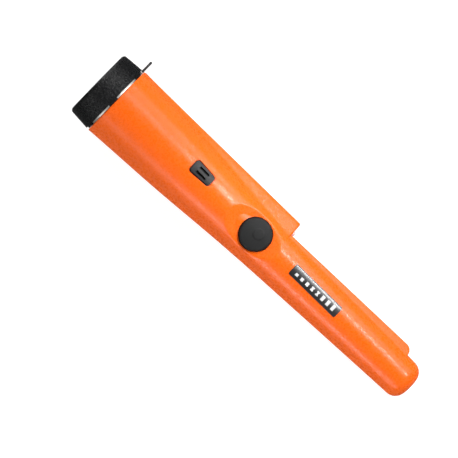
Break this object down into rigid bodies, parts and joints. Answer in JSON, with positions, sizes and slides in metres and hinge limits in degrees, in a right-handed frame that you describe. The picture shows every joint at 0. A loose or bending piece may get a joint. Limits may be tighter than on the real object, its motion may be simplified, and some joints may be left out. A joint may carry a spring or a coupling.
{
  "type": "pinpointer probe",
  "caption": "Handheld metal-detecting pinpointer probe: tapered tube with a push button, screw-on battery cap, lanyard tab, side ledge with lamp, scraping rib and sensing tip.",
  "frame": {"origin": "centre of the battery cap's flat end face, on the long axis of the tube", "axes": "+X along the tube out of the cap's end (the sensing tip points to -X), +Z out through the push button, -Y towards the side ledge, rib and lanyard tab"},
  "size_m": [0.24, 0.0506, 0.044],
  "materials": {
    "body_orange": "fine spark-eroded texture, satin",
    "cap_black": "spark-eroded texture, matte",
    "seal_rubber": "smooth",
    "foam": "open-cell foam",
    "bright_ring": "bright",
    "plate_steel": "polished rim, tab dipped black",
    "battery_jacket": "printed steel jacket, plain",
    "battery_card": "pressed card",
    "contact_metal": "nickel plated",
    "contact_board": "moulded",
    "screw_steel": "zinc plated",
    "chassis_plastic": "moulded",
    "board_green": "solder mask",
    "chip_black": "moulded epoxy",
    "capacitor_sleeve": "shrunk sleeve",
    "crystal_can": "drawn can",
    "film_red": "dipped",
    "resistor_body": "matte",
    "button_rubber": "soft matte",
    "carrier_plastic": "moulded",
    "plunger_plastic": "moulded",
    "switch_case": "moulded",
    "grille_plastic": "fine texture",
    "mesh_cloth": "woven, water repellent",
    "seat_rubber": "matte",
    "speaker_case": "moulded",
    "cone_film": "pressed",
    "lamp_clear": "clear epoxy",
    "lead_tin": "tinned",
    "label_black": null,
    "motor_case": "drawn can",
    "shaft_steel": "ground",
    "weight_metal": "sintered",
    "ferrite": "sintered, matte",
    "former_plastic": "moulded",
    "copper_wire": "enamelled copper",
    "shield_foil": "copper foil",
    "wire_red": "extruded sleeve",
    "wire_black": "extruded sleeve",
    "wire_green": "extruded sleeve",
    "wire_yellow": "extruded sleeve"
  },
  "bodies": {
    "body": {"housing": "body_orange", "battery_case": "battery_jacket", "battery_cover": "battery_card", "battery_positive": "contact_metal", "battery_negative": "contact_metal", "snap_board": "contact_board", "snap_socket": "contact_metal", "snap_stud": "contact_metal", "chassis_screws": "screw_steel", "chassis": "chassis_plastic", "main_board": "board_green", "board_screws": "screw_steel", "controller_chip": "chip_black", "amplifier_chip": "chip_black", "filter_capacitors": "capacitor_sleeve", "crystal": "crystal_can", "regulator": "chip_black", "film_capacitor": "film_red", "chip_resistors": "resistor_body", "switch_body": "switch_case", "speaker_grille": "grille_plastic", "grille_mesh": "mesh_cloth", "speaker_seat": "seat_rubber", "speaker_can": "speaker_case", "speaker_cone": "cone_film", "lamp_lens": "lamp_clear", "lamp_leads": "lead_tin", "label": "label_black", "motor_can": "motor_case", "ferrite_rod": "ferrite", "coil_former": "former_plastic", "rear_winding": "copper_wire", "drive_winding": "copper_wire", "front_winding": "copper_wire", "coil_shield": "shield_foil", "tip_cushion": "foam", "battery_wire_red": "wire_red", "battery_wire_black": "wire_black", "speaker_wire_red": "wire_red", "speaker_wire_black": "wire_black", "lamp_wire_red": "wire_red", "lamp_wire_black": "wire_black", "motor_wire_red": "wire_red", "motor_wire_black": "wire_black", "coil_wire_left": "wire_green", "coil_wire_right": "wire_yellow"},
    "cap_carrier": {"slip_ring": "bright_ring"},
    "cap": {"battery_cap": "cap_black", "cap_seal": "seal_rubber", "battery_pad": "foam"},
    "button": {"button_cap": "button_rubber", "button_carrier": "carrier_plastic", "switch_plunger": "plunger_plastic"},
    "tab_plate": {"lanyard_plate": "plate_steel"},
    "motor_rotor": {"motor_shaft": "shaft_steel", "motor_weight": "weight_metal"}
  },
  "joints": [
    {"name": "cap_travel", "type": "slide", "parent": "body", "child": "cap_carrier", "axis": [1, 0, 0], "range_m": [0, 0.009]},
    {"name": "cap_turn", "type": "hinge", "parent": "cap_carrier", "child": "cap", "pos_m": [0, 0, 0], "axis": [1, 0, 0], "range_deg": [0, 900]},
    {"name": "button_press", "type": "slide", "parent": "body", "child": "button", "axis": [0, 0, -1], "range_m": [0, 0.0007], "stiffness_N_per_m": 2000},
    {"name": "lanyard_swing", "type": "hinge", "parent": "cap", "child": "tab_plate", "pos_m": [-0.0138, 0, 0], "axis": [1, 0, 0], "range_deg": [-16, 2]},
    {"name": "motor_spin", "type": "hinge", "parent": "body", "child": "motor_rotor", "pos_m": [-0.155, 0, -0.008], "axis": [1, 0, 0], "continuous": true}
  ],
  "couplings": [
    {"joint": "cap_travel", "follows": "cap_turn", "m_per_rad": 0.00057296}
  ]
}
